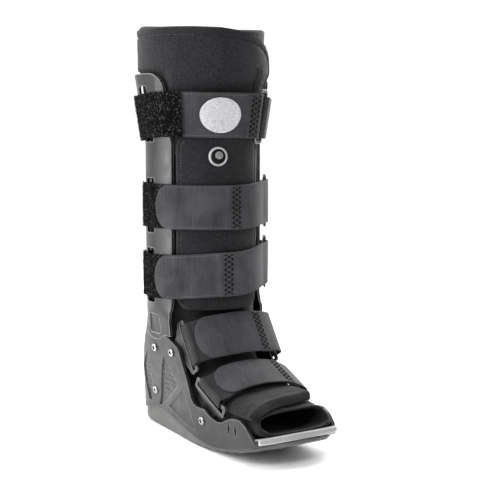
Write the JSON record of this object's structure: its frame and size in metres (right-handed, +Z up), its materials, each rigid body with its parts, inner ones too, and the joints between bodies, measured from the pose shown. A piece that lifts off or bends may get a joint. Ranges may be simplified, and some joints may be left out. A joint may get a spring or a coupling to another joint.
{
  "type": "medical_walking_boot",
  "caption": "Tall medical walking boot with rocker sole, plastic foot shell and side uprights, padded liner, shin pad with air valve, and hook and loop straps.",
  "frame": {"origin": "Middle of the boot's bounding box, on the ground", "axes": "+Z up, toes towards -Y, +X is the wearer's left"},
  "size_m": [0.1494, 0.2722, 0.436],
  "materials": {
    "sole": "moulded",
    "shell": "moulded, fine texture",
    "liner": "padded foam fabric",
    "webbing": "fine ribbed webbing",
    "pile": "fuzzy loop pile",
    "holders": "satin",
    "rivets": "polished",
    "disc": "metallic felt"
  },
  "bodies": {
    "root": {"outsole": "sole", "foot_shell": "shell", "upright_left": "shell", "upright_right": "shell", "rivet_a_left": "rivets", "rivet_a_right": "rivets", "rivet_b_left": "rivets", "rivet_b_right": "rivets", "rivet_c_left": "rivets", "rivet_c_right": "rivets", "rivet_d_left": "rivets", "rivet_d_right": "rivets", "liner": "liner", "liner_front_flap": "liner", "liner_toe_flap": "liner", "shin_pad": "liner", "valve_ring": "rivets", "valve_stem": "holders", "strap_top_disc": "disc", "strap_top_band": "webbing", "strap_top_ring": "holders", "strap_top_anchor": "webbing", "strap_top_pad": "pile", "strap_mid_band": "webbing", "strap_mid_ring": "holders", "strap_mid_anchor": "webbing", "strap_mid_pad": "pile", "strap_low_band": "webbing", "strap_low_ring": "holders", "strap_low_anchor": "webbing", "strap_low_pad": "pile", "strap_ankle_band": "webbing", "strap_ankle_loop": "webbing", "chafe_ankle_left": "holders", "chafe_ankle_right": "holders", "strap_toe_band": "webbing", "strap_toe_loop": "webbing", "chafe_toe_left": "holders", "chafe_toe_right": "holders"}
  },
  "joints": []
}
